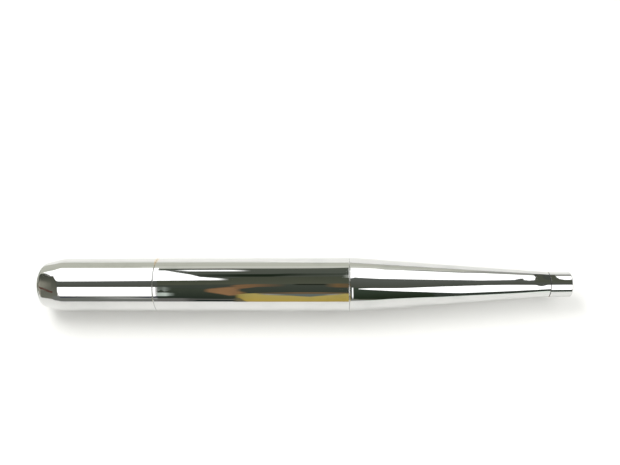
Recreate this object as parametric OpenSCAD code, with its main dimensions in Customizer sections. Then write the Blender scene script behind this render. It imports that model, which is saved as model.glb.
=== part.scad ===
// Magic wand: a plated tube with a pull-off domed cap at one end and a long taper to a small tip.
// The axis runs along X with the cap at -X and the tip at +X, and the barrel lies on Z = 0.

/* [Barrel] */
// Outside diameter of the cap and the body tube
barrel_d = 25.4; // [24:0.1:28]
// Thickness of the drawn tube wall
wall = 0.8; // [0.75:0.05:1]
// Length of the cap, from its domed end to its rim
cap_len = 56.8; // [50:0.1:80]
// Length of the straight body tube
tube_len = 91.5; // [80:0.5:120]

/* [Taper and tip] */
// Length of the tapered tube
taper_len = 93; // [80:1:120]
// Distance from the seam to the bend where the straight collar turns into the taper
knee_len = 2.4; // [2.2:0.1:4]
// Radius that blends the collar into the taper
knee_r = 45; // [20:1:50]
// Diameter of the tip
tip_d = 11.6; // [10:0.1:14]
// Length of the tip beyond the taper
tip_len = 10.3; // [6:0.1:20]
// Length of the tip's shank inside the taper
shank_len = 8; // [4:0.5:12]

/* [Dome of the cap] */
// Radius of the almost flat face at the cap's end
crown_r = 7; // [5:0.5:8]
// Radius of the slight swell of that face
crown_swell_r = 160; // [80:5:300]
// Radius of the round corner around the face
corner_r = 4.15; // [3:0.05:5]
// Slope of the shallow cone from the corner to the full diameter, in degrees
cone_slope = 13.4; // [10:0.1:18]
// Radius that blends the cone into the straight wall
shoulder_r = 17; // [8:1:25]

/* [Neck and friction ring] */
// Length of the neck that stands out of the body tube into the cap
neck_len = 22; // [16:1:30]
// Length of the neck's foot inside the body tube
foot_len = 18; // [10:1:24]
// Bore of the neck, which the load goes through
neck_bore_d = 20.2; // [18:0.1:20.4]
// Distance from the neck's free end to the middle of the ring's groove
groove_from_end = 5; // [3:0.5:10]
// Diameter of the ring's wire
wire_d = 0.9; // [0.8:0.05:1.2]
// Angle that the split ring leaves open
ring_split = 12; // [5:1:40]
// Where the split is, in degrees from the bottom round towards +Y
split_at = 225; // [10:5:350]

/* [Inside the body tube] */
// Length of the joint bush on the body tube's side
bush_len = 14; // [8:1:20]
// Length of the joint bush's nose inside the taper
nose_len = 10; // [6:1:14]
// Bore of the joint bush
bush_bore_d = 19; // [14:0.5:20]
// Height of the chamber floor's turned flange
floor_flange = 5; // [3:0.5:8]

/* [Fits and edges] */
// Radial clearance of a turned part in a tube's bore
fit_gap = 0.05; // [0.03:0.01:0.08]
// Radial clearance of the friction ring in the cap's bore
ring_gap = 0.02; // [0.01:0.01:0.05]
// Gap left at the seam between the cap's rim and the body tube
rim_gap = 0.05; // [0.05:0.05:0.2]
// Radius of the polished edges at the seams
seam_edge_r = 0.3; // [0.1:0.05:0.35]
// Radius of the tip's outer edge
tip_edge_r = 0.5; // [0.2:0.1:1.5]
// Size of the chamfers that lead one part into another
lead = 0.4; // [0.2:0.05:0.45]

/* [Hidden] */

$fn = 96;
arc_steps = 8;

// Radii
barrel_r = barrel_d / 2;
bore_r = barrel_r - wall;
turned_r = bore_r - fit_gap;
tip_r = tip_d / 2;

// Stations along the axis, measured from the cap's end
seam_cap = cap_len;
tube_start = seam_cap + rim_gap;
seam_taper = cap_len + tube_len;
seam_tip = seam_taper + taper_len;
tip_end = seam_tip + tip_len;
neck_start = tube_start - neck_len;
neck_end = tube_start + foot_len;
bush_start = seam_taper - bush_len;

// The taper: its slope, and the length of its bend on each side of the knee
taper_slope = atan((barrel_r - tip_r) / (taper_len - knee_len));
knee_reach = knee_r * tan(taper_slope / 2);
knee_start = seam_taper + knee_len - knee_reach;

// The ring's groove: its half width, its floor, and the circle that the wire's middle follows
groove_half = wire_d / 2 + fit_gap;
wire_track_r = bore_r - ring_gap - wire_d / 2;
groove_floor_r = wire_track_r - wire_d / 2 - fit_gap;
groove_mid = neck_start + groove_from_end;

// The dome: the angle where the face ends, the centre of the corner and the start of the shoulder
crown_angle = asin(crown_r / crown_swell_r);
cone_angle = 90 - cone_slope;
corner_c = [
    (crown_swell_r - corner_r) * sin(crown_angle),
    crown_swell_r - (crown_swell_r - corner_r) * cos(crown_angle)
];
corner_end = corner_c + corner_r * [sin(cone_angle), -cos(cone_angle)];
cone_run = (barrel_r - shoulder_r * (1 - sin(cone_angle)) - corner_end[0]) / cos(cone_angle);
shoulder_c = [
    barrel_r - shoulder_r,
    corner_end[1] + cone_run * sin(cone_angle) + shoulder_r * cos(cone_angle)
];

// Points [radius, station] along an arc. The angle is 0 towards the cap's end and 90 straight outwards.
function arc(centre, r, from, to, first = 0) = [
    for (i = [first:arc_steps])
    let (a = from + (to - from) * i / arc_steps)
    centre + r * [sin(a), -cos(a)]
];

// The dome's outline from the axis to the straight wall, moved inwards by a depth
function dome(depth) = concat(
    arc([0, crown_swell_r], crown_swell_r - depth, 0, crown_angle),
    arc(corner_c, corner_r - depth, crown_angle, cone_angle, 1),
    arc(shoulder_c, shoulder_r - depth, cone_angle, 90)
);

// The taper's radius at a station past its bend, moved inwards by a depth
function taper_r(station, depth) =
    tip_r + (seam_tip - station) * tan(taper_slope) - depth / cos(taper_slope);

// The taper's outline from the end of its collar to a station, moved inwards by a depth
function taper_line(depth, station) = concat(
    arc([barrel_r - knee_r, knee_start], knee_r - depth, 90, 90 + taper_slope),
    [[taper_r(station, depth), station]]
);

function reversed(points) = [for (i = [len(points) - 1:-1:0]) points[i]];

// Turns an outline of [radius, station] points around the wand's axis
module turned(points) {
    translate([-tip_end / 2, 0, barrel_r])
        rotate([0, 90, 0])
            rotate_extrude()
                polygon(points);
}

// Drawn cup with a round corner and a shallow cone, open at its rim
module cap_shell() {
    color([0.84, 0.84, 0.85])
        turned(concat(
            dome(0),
            arc([barrel_r - seam_edge_r, seam_cap - seam_edge_r], seam_edge_r, 90, 180),
            [[bore_r + lead, seam_cap], [bore_r, seam_cap - lead]],
            reversed(dome(wall))
        ));
}

// Split ring of spring wire that grips the cap's bore
module friction_ring() {
    color([0.72, 0.50, 0.28])
        translate([groove_mid - tip_end / 2, 0, barrel_r])
            rotate([0, 90, 0])
                rotate([0, 0, split_at + ring_split / 2])
                    rotate_extrude(angle = 360 - ring_split)
                        translate([wire_track_r, 0])
                            circle(d = wire_d);
}

// Turned bush with the ring's groove: its foot is soldered in the body tube, its neck carries the cap
module neck_bush() {
    color([0.80, 0.66, 0.36])
        turned([
            [neck_bore_d / 2 + lead, neck_start],
            [turned_r - lead, neck_start],
            [turned_r, neck_start + lead],
            [turned_r, groove_mid - groove_half],
            [groove_floor_r, groove_mid - groove_half],
            [groove_floor_r, groove_mid + groove_half],
            [turned_r, groove_mid + groove_half],
            [turned_r, neck_end - lead],
            [turned_r - lead, neck_end],
            [neck_bore_d / 2, neck_end],
            [neck_bore_d / 2, neck_start + lead]
        ]);
}

// Straight tube with polished edges at both seams
module body_tube() {
    color([0.82, 0.82, 0.84])
        turned(concat(
            [[bore_r, tube_start]],
            arc([barrel_r - seam_edge_r, tube_start + seam_edge_r], seam_edge_r, 0, 90),
            arc([barrel_r - seam_edge_r, seam_taper - seam_edge_r], seam_edge_r, 90, 180),
            [[bore_r, seam_taper]]
        ));
}

// Pressed disc with a flange, which closes the load chamber in front of the joint bush
module chamber_floor() {
    color([0.78, 0.64, 0.38])
        turned([
            [0, bush_start - wall],
            [turned_r - wall, bush_start - wall],
            [turned_r - wall, bush_start - floor_flange],
            [turned_r, bush_start - floor_flange],
            [turned_r, bush_start],
            [0, bush_start]
        ]);
}

// Turned bush that joins the body tube to the taper, with a nose that follows the taper's bore
module joint_bush() {
    nose_end = seam_taper + nose_len;
    color([0.80, 0.66, 0.36])
        turned(concat(
            [[bush_bore_d / 2, bush_start], [turned_r - lead, bush_start], [turned_r, bush_start + lead]],
            taper_line(wall + fit_gap, nose_end),
            [[bush_bore_d / 2, nose_end]]
        ));
}

// Tapered tube with a short straight collar at the seam and a reamed seat for the tip's shank
module taper_tube() {
    seat_r = tip_r - wall;
    seat_start = seam_tip - shank_len - lead;
    color([0.82, 0.82, 0.84])
        turned(concat(
            [[bore_r, seam_taper]],
            arc([barrel_r - seam_edge_r, seam_taper + seam_edge_r], seam_edge_r, 0, 90),
            taper_line(0, seam_tip),
            [[seat_r, seam_tip], [seat_r, seat_start]],
            reversed(taper_line(wall, seat_start))
        ));
}

// Turned solid tip, flush with the taper's end, with a shank soldered inside it
module tip_plug() {
    shank_r = tip_r - wall - fit_gap;
    color([0.84, 0.84, 0.85])
        turned(concat(
            [[0, seam_tip - shank_len], [shank_r - lead, seam_tip - shank_len]],
            [[shank_r, seam_tip - shank_len + lead], [shank_r, seam_tip], [tip_r, seam_tip]],
            arc([tip_r - tip_edge_r, tip_end - tip_edge_r], tip_edge_r, 90, 180),
            [[0, tip_end]]
        ));
}

cap_shell();
friction_ring();
neck_bush();
body_tube();
chamber_floor();
joint_bush();
taper_tube();
tip_plug();
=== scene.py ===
import math

import bmesh
import bpy
from bpy.props import FloatProperty, FloatVectorProperty, IntProperty, PointerProperty
from mathutils import Matrix, Vector


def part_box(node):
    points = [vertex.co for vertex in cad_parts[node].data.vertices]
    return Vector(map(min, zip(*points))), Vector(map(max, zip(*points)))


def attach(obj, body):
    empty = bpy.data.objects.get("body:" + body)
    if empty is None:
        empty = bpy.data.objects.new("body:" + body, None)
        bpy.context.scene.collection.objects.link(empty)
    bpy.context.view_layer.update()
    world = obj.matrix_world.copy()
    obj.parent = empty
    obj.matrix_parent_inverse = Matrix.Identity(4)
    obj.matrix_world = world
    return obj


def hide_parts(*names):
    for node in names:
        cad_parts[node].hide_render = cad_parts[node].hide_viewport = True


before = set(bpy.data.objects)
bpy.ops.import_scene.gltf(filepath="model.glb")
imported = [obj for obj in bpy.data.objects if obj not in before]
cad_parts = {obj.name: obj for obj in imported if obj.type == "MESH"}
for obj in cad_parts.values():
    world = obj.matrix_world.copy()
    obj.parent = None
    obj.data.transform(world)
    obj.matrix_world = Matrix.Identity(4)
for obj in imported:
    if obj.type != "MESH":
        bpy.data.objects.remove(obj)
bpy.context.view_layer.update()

bl_info = {
    "name": "Production Wand",
    "version": (1, 0, 0),
    "blender": (4, 5, 0),
    "location": "3D View > Sidebar > Wand",
    "description": "Builds a plated production wand with a pull-off cap, and the light tent around it",
    "category": "Add Mesh",
}

MM = 0.001


def linear(hex_colour):
    """Turns an sRGB hex colour into the linear red, green and blue that Blender's sockets take."""
    parts = [int(hex_colour[i : i + 2], 16) / 255 for i in (1, 3, 5)]
    return tuple(c / 12.92 if c <= 0.04045 else ((c + 0.055) / 1.055) ** 2.4 for c in parts)


# Places and diameters that the frame gives


def ends(node):
    """Where a node starts and ends along the wand's axis."""
    low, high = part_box(node)
    return low[0], high[0]


def outer_radius(node):
    """The largest radius of a turned node."""
    low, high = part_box(node)
    return (high[2] - low[2]) / 2


TUBE_LOW, TUBE_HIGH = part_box("body_tube")
AXIS_Z = (TUBE_LOW[2] + TUBE_HIGH[2]) / 2
BARREL_R = outer_radius("body_tube")
TIP_R = outer_radius("tip_plug")
CAP_START, CAP_RIM = ends("cap_shell")
TUBE_START, TUBE_END = ends("body_tube")
TAPER_START, TAPER_END = ends("taper_tube")
SHANK_START, TIP_END = ends("tip_plug")
NECK_START, NECK_END = ends("neck_bush")
RING_START, RING_END = ends("friction_ring")
RING_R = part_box("friction_ring")[1][2] - AXIS_Z
FLOOR_START, FLOOR_END = ends("chamber_floor")
BUSH_START, BUSH_END = ends("joint_bush")


class WandSizes(bpy.types.PropertyGroup):
    """Sizes of the turned parts that the frame's boxes don't give."""

    wall: FloatProperty(
        name="Tube Wall", description="Thickness of the drawn tube", default=0.8 * MM, unit="LENGTH"
    )
    crown_r: FloatProperty(
        name="Crown Radius",
        description="Radius of the almost flat face at the cap's end",
        default=7 * MM,
        unit="LENGTH",
    )
    swell_r: FloatProperty(
        name="Crown Swell",
        description="Radius of that face's slight swell",
        default=160 * MM,
        unit="LENGTH",
    )
    corner_r: FloatProperty(
        name="Corner Radius",
        description="Radius of the corner round the crown",
        default=4.15 * MM,
        unit="LENGTH",
    )
    cone_slope: FloatProperty(
        name="Cone Slope",
        description="Slope of the shallow cone behind the corner",
        default=math.radians(13.4),
        subtype="ANGLE",
    )
    shoulder_r: FloatProperty(
        name="Shoulder Radius",
        description="Radius that blends the cone into the straight wall",
        default=17 * MM,
        unit="LENGTH",
    )
    knee_len: FloatProperty(
        name="Knee Length",
        description="Distance from the seam to the bend of the taper",
        default=2.4 * MM,
        unit="LENGTH",
    )
    knee_r: FloatProperty(
        name="Knee Radius", description="Radius of that bend", default=45 * MM, unit="LENGTH"
    )
    seam_edge_r: FloatProperty(
        name="Seam Edge",
        description="Radius of the polished edges at the seams",
        default=0.3 * MM,
        unit="LENGTH",
    )
    tip_edge_r: FloatProperty(
        name="Tip Edge", description="Radius of the tip's outer edge", default=0.5 * MM, unit="LENGTH"
    )
    seam_groove: FloatProperty(
        name="Tip Seam",
        description="Width of the fine groove where the tip meets the taper",
        default=0.34 * MM,
        unit="LENGTH",
    )
    seam_depth: FloatProperty(
        name="Tip Seam Depth", description="Depth of that groove", default=0.2 * MM, unit="LENGTH"
    )
    lead: FloatProperty(
        name="Lead-in", description="Size of the lead-in chamfers", default=0.4 * MM, unit="LENGTH"
    )
    fit_gap: FloatProperty(
        name="Fit Gap",
        description="Radial clearance of a turned part in a tube",
        default=0.05 * MM,
        unit="LENGTH",
    )
    neck_bore_r: FloatProperty(
        name="Neck Bore", description="Radius of the neck's bore", default=10.1 * MM, unit="LENGTH"
    )
    bush_bore_r: FloatProperty(
        name="Bush Bore", description="Radius of the joint bush's bore", default=9.5 * MM, unit="LENGTH"
    )
    ring_split: FloatProperty(
        name="Ring Split",
        description="Angle that the split ring leaves open",
        default=math.radians(12),
        subtype="ANGLE",
    )
    split_at: FloatProperty(
        name="Split Place",
        description="Where the ring's split is, from the bottom round towards the back",
        default=math.radians(225),
        subtype="ANGLE",
    )
    fillet: FloatProperty(
        name="Solder Fillet",
        description="Leg of the solder fillet at the neck's foot",
        default=0.22 * MM,
        unit="LENGTH",
    )
    sides: IntProperty(
        name="Sides", description="Faces round a turned part", default=256, min=48, max=512
    )


class WandFinish(bpy.types.PropertyGroup):
    """Colours and surface marks of the metals."""

    plate: FloatVectorProperty(
        name="Plate", description="Colour of the plating", subtype="COLOR", default=linear("#D2D2D1")
    )
    plate_smudged: FloatVectorProperty(
        name="Smudged Plate",
        description="Colour of the plating under finger marks",
        subtype="COLOR",
        default=linear("#C9CAC9"),
    )
    brass: FloatVectorProperty(
        name="Brass",
        description="Colour of clean turned brass",
        subtype="COLOR",
        default=linear("#D9B36A"),
    )
    brass_tarnished: FloatVectorProperty(
        name="Tarnished Brass",
        description="Colour of dulled brass",
        subtype="COLOR",
        default=linear("#9C7A45"),
    )
    bronze: FloatVectorProperty(
        name="Bronze",
        description="Colour of the spring wire",
        subtype="COLOR",
        default=linear("#C58A5B"),
    )
    solder: FloatVectorProperty(
        name="Solder", description="Colour of soft solder", subtype="COLOR", default=linear("#A9ABAC")
    )
    # The tip's seam filling: two nearly black colours that paint the shade in the seam's gap
    seam_shade_dark: FloatVectorProperty(
        name="Compound",
        description="Colour of polishing compound in a seam",
        subtype="COLOR",
        default=linear("#14121A"),
    )
    seam_shade_light: FloatVectorProperty(
        name="Dry Compound",
        description="Colour of its dry crumbs",
        subtype="COLOR",
        default=linear("#262430"),
    )
    waviness: FloatProperty(
        name="Waviness",
        description="Height of the long, low waves in the drawn tube",
        default=0.012 * MM,
        unit="LENGTH",
    )


class TentSettings(bpy.types.PropertyGroup):
    """The light tent, its lights and the camera."""

    tent_r: FloatProperty(
        name="Tent Radius",
        description="Distance from the wand's axis to the tent's cards",
        default=334 * MM,
        unit="LENGTH",
    )
    cloth_glow: FloatProperty(
        name="Cloth Glow", description="Brightness of the lit cloth in reflections", default=2.2
    )
    lamp_power: FloatProperty(
        name="Lamp Power", description="Share of each soft lamp's power that is used", default=1.0
    )
    sky: FloatProperty(name="Sky", description="Brightness of the light from all round", default=0.685)
    seen_sky: FloatProperty(
        name="Seen Sky", description="Brightness of the sky that the camera sees", default=0.97
    )
    paper: FloatVectorProperty(
        name="Paper", description="Colour of the pale floor", subtype="COLOR", default=linear("#E9E9E6")
    )
    elevation: FloatProperty(
        name="Camera Elevation",
        description="Height of the camera above the horizon",
        default=math.radians(70),
        subtype="ANGLE",
    )
    turn: FloatProperty(
        name="Camera Turn",
        description="How far the camera is turned towards the cap's end",
        default=math.radians(2.4),
        subtype="ANGLE",
    )
    distance: FloatProperty(
        name="Camera Distance",
        description="From the camera to the wand's axis",
        default=334 * MM,
        unit="LENGTH",
    )
    roll: FloatProperty(
        name="Camera Roll",
        description="How far the camera leans about its own line of sight",
        default=math.radians(0.23),
        subtype="ANGLE",
    )
    rise: FloatProperty(
        name="Camera Rise",
        description="How far the camera is moved up across its line of sight",
        default=24.9 * MM,
        unit="LENGTH",
    )
    aim_x: FloatProperty(
        name="Aim", description="Where the camera points along the wand", default=3.9 * MM, unit="LENGTH"
    )
    lens: FloatProperty(
        name="Lens", description="Focal length in millimetres", default=40.65, unit="CAMERA"
    )


# Nodes and materials


def add(tree, kind, inputs=None, **settings):
    """Adds a node, sets its own settings, and sets or links its inputs by name or number. An input may
    be a value, a socket, or a node, which stands for its first output that is in use."""
    node = tree.nodes.new(kind)
    for name, value in settings.items():
        setattr(node, name, value)
    for name, value in (inputs or {}).items():
        socket = node.inputs[name]
        if isinstance(value, bpy.types.Node):
            value = next(output for output in value.outputs if output.enabled)
        if isinstance(value, bpy.types.NodeSocket):
            tree.links.new(value, socket)
        elif socket.type == "RGBA":
            socket.default_value = (*value, 1.0)[:4]
        else:
            socket.default_value = value
    return node


# The numbers of a colour mix's own sockets, which share their names with its other sockets
MIX_BY, MIX_A, MIX_B, MIXED = 0, 6, 7, 2


def cells(along, around):
    """The scale that gives a noise cells of one length along the axis and another across it."""
    return (1 / along, 1 / around, 1 / around)


def new_metal(name):
    """A metal with nothing but its shader, and coordinates centred on the wand's axis."""
    metal = bpy.data.materials.new(name)
    metal.use_nodes = True
    tree = metal.node_tree
    tree.nodes.clear()
    shader = add(tree, "ShaderNodeBsdfPrincipled", {"Metallic": 1.0})
    add(tree, "ShaderNodeOutputMaterial", {"Surface": shader})
    place = add(tree, "ShaderNodeTexCoord").outputs["Object"]
    centred = add(tree, "ShaderNodeMapping", {"Vector": place, "Location": (0, 0, -AXIS_Z)})
    return metal, tree, shader, centred.outputs["Vector"]


def finished(tree, shader, colour, rough, bumped):
    """Gives a shader its colour, its roughness and its bump."""
    tree.links.new(colour.outputs[MIXED], shader.inputs["Base Color"])
    tree.links.new(rough.outputs[0], shader.inputs["Roughness"])
    tree.links.new(bumped.outputs["Normal"], shader.inputs["Normal"])


def mirror_plate(finish):
    """Nickel-chrome plate over buffed brass: mirror bright, with faint lathe-buffing rings, soft finger
    marks and the long low waves of drawn tube. At the cap's rim it is rubbed through to the brass."""
    smudge_roughness = 0.03
    widest_wear = 2.0 * MM
    most_brass = 0.4
    wear_roughness = 0.1
    metal, tree, shader, place = new_metal("nickel_chrome_plate")
    spread = add(tree, "ShaderNodeMapping", {"Vector": place, "Scale": cells(22 * MM, 14 * MM)})
    clouds = {"Vector": spread, "Scale": 1.0, "Detail": 4.0, "Roughness": 0.62}
    marks = add(tree, "ShaderNodeTexNoise", clouds)
    shares = {"Value": marks, "From Min": 0.5, "From Max": 0.72}
    smudge = add(tree, "ShaderNodeMapRange", shares, interpolation_type="SMOOTHSTEP")
    # Real buffing lines are about 0.02 mm apart. They are drawn 0.35 mm apart so that they show.
    lines = add(tree, "ShaderNodeMapping", {"Vector": place, "Scale": cells(0.35 * MM, 60 * MM)})
    rings = add(tree, "ShaderNodeTexNoise", {"Vector": lines, "Scale": 1.0, "Detail": 3.0})
    shares = {"Value": rings, "From Min": 0.3, "From Max": 0.7, "To Min": 0.012, "To Max": 0.035}
    ring_gloss = add(tree, "ShaderNodeMapRange", shares, interpolation_type="SMOOTHSTEP")
    smudged = {0: smudge, 1: smudge_roughness, 2: ring_gloss}
    gloss = add(tree, "ShaderNodeMath", smudged, operation="MULTIPLY_ADD")
    shades = {MIX_BY: smudge, MIX_A: finish.plate, MIX_B: finish.plate_smudged}
    plated = add(tree, "ShaderNodeMix", shades, data_type="RGBA")

    axes = add(tree, "ShaderNodeSeparateXYZ", {"Vector": place})
    from_rim = add(tree, "ShaderNodeMath", {0: CAP_RIM, 1: axes.outputs["X"]}, operation="SUBTRACT")
    before_rim = add(tree, "ShaderNodeMath", {0: from_rim}, operation="ABSOLUTE")
    spread = add(tree, "ShaderNodeMapping", {"Vector": place, "Scale": cells(1.4 * MM, 5 * MM)})
    patchy = add(tree, "ShaderNodeTexNoise", {"Vector": spread, "Scale": 1.0, "Detail": 3.0})
    shares = {"Value": axes.outputs["Y"], "From Min": 0.2 * BARREL_R, "From Max": 0.9 * BARREL_R}
    back_side = add(tree, "ShaderNodeMapRange", shares, interpolation_type="SMOOTHSTEP")
    reach = add(tree, "ShaderNodeMath", {0: back_side, 1: widest_wear}, operation="MULTIPLY")
    worn_to = add(tree, "ShaderNodeMath", {0: reach, 1: patchy}, operation="MULTIPLY")
    inside = add(tree, "ShaderNodeMath", {0: worn_to, 1: before_rim}, operation="SUBTRACT")
    shares = {"Value": inside, "From Min": 0.0, "From Max": 0.25 * MM}
    worn = add(tree, "ShaderNodeMapRange", shares, interpolation_type="SMOOTHSTEP")
    thin_wear = add(tree, "ShaderNodeMath", {0: worn, 1: most_brass}, operation="MULTIPLY")
    shades = {MIX_BY: thin_wear, MIX_A: plated, MIX_B: finish.brass}
    colour = add(tree, "ShaderNodeMix", shades, data_type="RGBA")
    rubbed = {0: worn, 1: wear_roughness, 2: gloss}
    rough = add(tree, "ShaderNodeMath", rubbed, operation="MULTIPLY_ADD")

    lengths = add(tree, "ShaderNodeMapping", {"Vector": place, "Scale": cells(26 * MM, 9 * MM)})
    waves = add(tree, "ShaderNodeTexNoise", {"Vector": lengths, "Scale": 1.0, "Detail": 1.0})
    wavy = add(tree, "ShaderNodeBump", {"Height": waves, "Distance": finish.waviness})
    finished(tree, shader, colour, rough, wavy)
    return metal


def turned_brass(finish):
    """Free-cutting brass off the lathe: fine tool rings, duller where air and hands have reached it, and
    bright streaks along the neck where the cap slides."""
    metal, tree, shader, place = new_metal("turned_brass")
    spread = add(tree, "ShaderNodeMapping", {"Vector": place, "Scale": cells(9 * MM, 6 * MM)})
    clouds = {"Vector": spread, "Scale": 1.0, "Detail": 5.0, "Roughness": 0.6}
    stains = add(tree, "ShaderNodeTexNoise", clouds)
    shares = {"Value": stains, "From Min": 0.42, "From Max": 0.68}
    tarnish = add(tree, "ShaderNodeMapRange", shares, interpolation_type="SMOOTHSTEP")
    spread = add(tree, "ShaderNodeMapping", {"Vector": place, "Scale": cells(30 * MM, 0.9 * MM)})
    rubs = add(tree, "ShaderNodeTexNoise", {"Vector": spread, "Scale": 1.0, "Detail": 2.0})
    shares = {"Value": rubs, "From Min": 0.5, "From Max": 0.62}
    streaks = add(tree, "ShaderNodeMapRange", shares, interpolation_type="SMOOTHSTEP")
    unrubbed = add(tree, "ShaderNodeMath", {0: 1.0, 1: streaks}, operation="SUBTRACT")
    dull = add(tree, "ShaderNodeMath", {0: tarnish, 1: unrubbed}, operation="MULTIPLY")
    shades = {MIX_BY: dull, MIX_A: finish.brass, MIX_B: finish.brass_tarnished}
    colour = add(tree, "ShaderNodeMix", shades, data_type="RGBA")
    shares = {"Value": dull, "To Min": 0.16, "To Max": 0.34}
    rough = add(tree, "ShaderNodeMapRange", shares, interpolation_type="SMOOTHSTEP")
    # The tool's feed is about 0.08 mm a turn. The rings are drawn 0.25 mm apart so that they show.
    lines = add(tree, "ShaderNodeMapping", {"Vector": place, "Scale": cells(0.25 * MM, 80 * MM)})
    rings = add(tree, "ShaderNodeTexNoise", {"Vector": lines, "Scale": 1.0, "Detail": 2.0})
    ringed = add(tree, "ShaderNodeBump", {"Height": rings, "Distance": 0.006 * MM})
    finished(tree, shader, colour, rough, ringed)
    return metal


def drawn_brass(finish):
    """The unplated bore of drawn brass tube: brown and dull, with draw lines along the axis."""
    metal, tree, shader, place = new_metal("drawn_brass_bore")
    spread = add(tree, "ShaderNodeMapping", {"Vector": place, "Scale": cells(14 * MM, 8 * MM)})
    clouds = {"Vector": spread, "Scale": 1.0, "Detail": 5.0, "Roughness": 0.6}
    stains = add(tree, "ShaderNodeTexNoise", clouds)
    shares = {"Value": stains, "From Min": 0.3, "From Max": 0.7}
    tarnish = add(tree, "ShaderNodeMapRange", shares, interpolation_type="SMOOTHSTEP")
    shades = {MIX_BY: tarnish, MIX_A: finish.brass, MIX_B: finish.brass_tarnished}
    colour = add(tree, "ShaderNodeMix", shades, data_type="RGBA")
    shares = {"Value": tarnish, "To Min": 0.3, "To Max": 0.46}
    rough = add(tree, "ShaderNodeMapRange", shares, interpolation_type="SMOOTHSTEP")
    # Draw lines are a few hundredths of a millimetre apart. They are drawn 0.5 mm apart, to show.
    strands = add(tree, "ShaderNodeMapping", {"Vector": place, "Scale": cells(40 * MM, 0.5 * MM)})
    lines = add(tree, "ShaderNodeTexNoise", {"Vector": strands, "Scale": 1.0, "Detail": 3.0})
    lined = add(tree, "ShaderNodeBump", {"Height": lines, "Distance": 0.01 * MM})
    finished(tree, shader, colour, rough, lined)
    return metal


def bronze_wire(finish):
    """Phosphor-bronze spring wire: redder than the brass, drawn smooth, with small dark spots."""
    metal, tree, shader, place = new_metal("phosphor_bronze_wire")
    spread = add(tree, "ShaderNodeMapping", {"Vector": place, "Scale": cells(0.7 * MM, 0.7 * MM)})
    specks = add(tree, "ShaderNodeTexNoise", {"Vector": spread, "Scale": 1.0, "Detail": 3.0})
    shares = {"Value": specks, "From Min": 0.56, "From Max": 0.7}
    spots = add(tree, "ShaderNodeMapRange", shares, interpolation_type="SMOOTHSTEP")
    shades = {MIX_BY: spots, MIX_A: finish.bronze, MIX_B: finish.brass_tarnished}
    colour = add(tree, "ShaderNodeMix", shades, data_type="RGBA")
    shares = {"Value": spots, "To Min": 0.18, "To Max": 0.4}
    rough = add(tree, "ShaderNodeMapRange", shares, interpolation_type="SMOOTHSTEP")
    fine = add(tree, "ShaderNodeMapping", {"Vector": place, "Scale": cells(0.3 * MM, 0.3 * MM)})
    grain = add(tree, "ShaderNodeTexNoise", {"Vector": fine, "Scale": 1.0, "Detail": 2.0})
    grained = add(tree, "ShaderNodeBump", {"Height": grain, "Distance": 0.002 * MM})
    finished(tree, shader, colour, rough, grained)
    return metal


def soft_solder(finish):
    """Tin solder that has run into a joint: grey, satin, slightly lumpy."""
    metal, tree, shader, place = new_metal("soft_solder")
    spread = add(tree, "ShaderNodeMapping", {"Vector": place, "Scale": cells(1.2 * MM, 1.2 * MM)})
    lumps = add(tree, "ShaderNodeTexNoise", {"Vector": spread, "Scale": 1.0, "Detail": 3.0})
    shades = {MIX_BY: lumps, MIX_A: finish.solder, MIX_B: finish.plate}
    colour = add(tree, "ShaderNodeMix", shades, data_type="RGBA")
    shares = {"Value": lumps, "From Min": 0.3, "From Max": 0.7, "To Min": 0.28, "To Max": 0.42}
    rough = add(tree, "ShaderNodeMapRange", shares, interpolation_type="SMOOTHSTEP")
    lumpy = add(tree, "ShaderNodeBump", {"Height": lumps, "Distance": 0.02 * MM})
    finished(tree, shader, colour, rough, lumpy)
    return metal


def paint_seam_shade(finish):
    """Painted shade for the tip's seam: a nearly black, matt, mottled and slightly bumpy filling in the
    seam, which stands for the shade in its gap.
    """
    material, tree, shader, place = new_metal("painted_seam_shade")
    shader.inputs["Metallic"].default_value = 0.0
    spread = add(tree, "ShaderNodeMapping", {"Vector": place, "Scale": cells(0.5 * MM, 0.5 * MM)})
    mottle = add(tree, "ShaderNodeTexNoise", {"Vector": spread, "Scale": 1.0, "Detail": 3.0})
    shades = {MIX_BY: mottle, MIX_A: finish.seam_shade_dark, MIX_B: finish.seam_shade_light}
    colour = add(tree, "ShaderNodeMix", shades, data_type="RGBA")
    shares = {"Value": mottle, "From Min": 0.3, "From Max": 0.7, "To Min": 0.8, "To Max": 0.9}
    rough = add(tree, "ShaderNodeMapRange", shares, interpolation_type="SMOOTHSTEP")
    mottled = add(tree, "ShaderNodeBump", {"Height": mottle, "Distance": 0.01 * MM})
    finished(tree, shader, colour, rough, mottled)
    return material


MAKERS = {
    "nickel_chrome_plate": mirror_plate,
    "turned_brass": turned_brass,
    "drawn_brass_bore": drawn_brass,
    "phosphor_bronze_wire": bronze_wire,
    "soft_solder": soft_solder,
    "painted_seam_shade": paint_seam_shade,
}


def metal_named(name):
    """The metal of that name, made on its first use."""
    return bpy.data.materials.get(name) or MAKERS[name](bpy.context.scene.wand_finish)


# Outlines: lists of (place along X, distance from the axis)


QUARTER = math.pi / 2
ARC_STEPS = 12

# How far the extra point near each end of a long straight stretch is from that end
GUARD = 0.015 * MM

# Points of a mesh that are closer together than this are one point
MERGE = 0.001 * MM


def arc(centre, radius, start, end, first=0):
    """Points along an arc. 0 looks towards -X and a quarter turn looks away from the axis."""
    turns = [start + (end - start) * i / ARC_STEPS for i in range(first, ARC_STEPS + 1)]
    return [(centre[0] - radius * math.cos(a), centre[1] + radius * math.sin(a)) for a in turns]


def edge_before(x, radius, round_by):
    """A rounded outer edge at the start of a turned part."""
    return arc((x + round_by, radius - round_by), round_by, 0, QUARTER)


def edge_after(x, radius, round_by):
    """A rounded outer edge at the end of a turned part."""
    return arc((x - round_by, radius - round_by), round_by, QUARTER, 2 * QUARTER)


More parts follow.
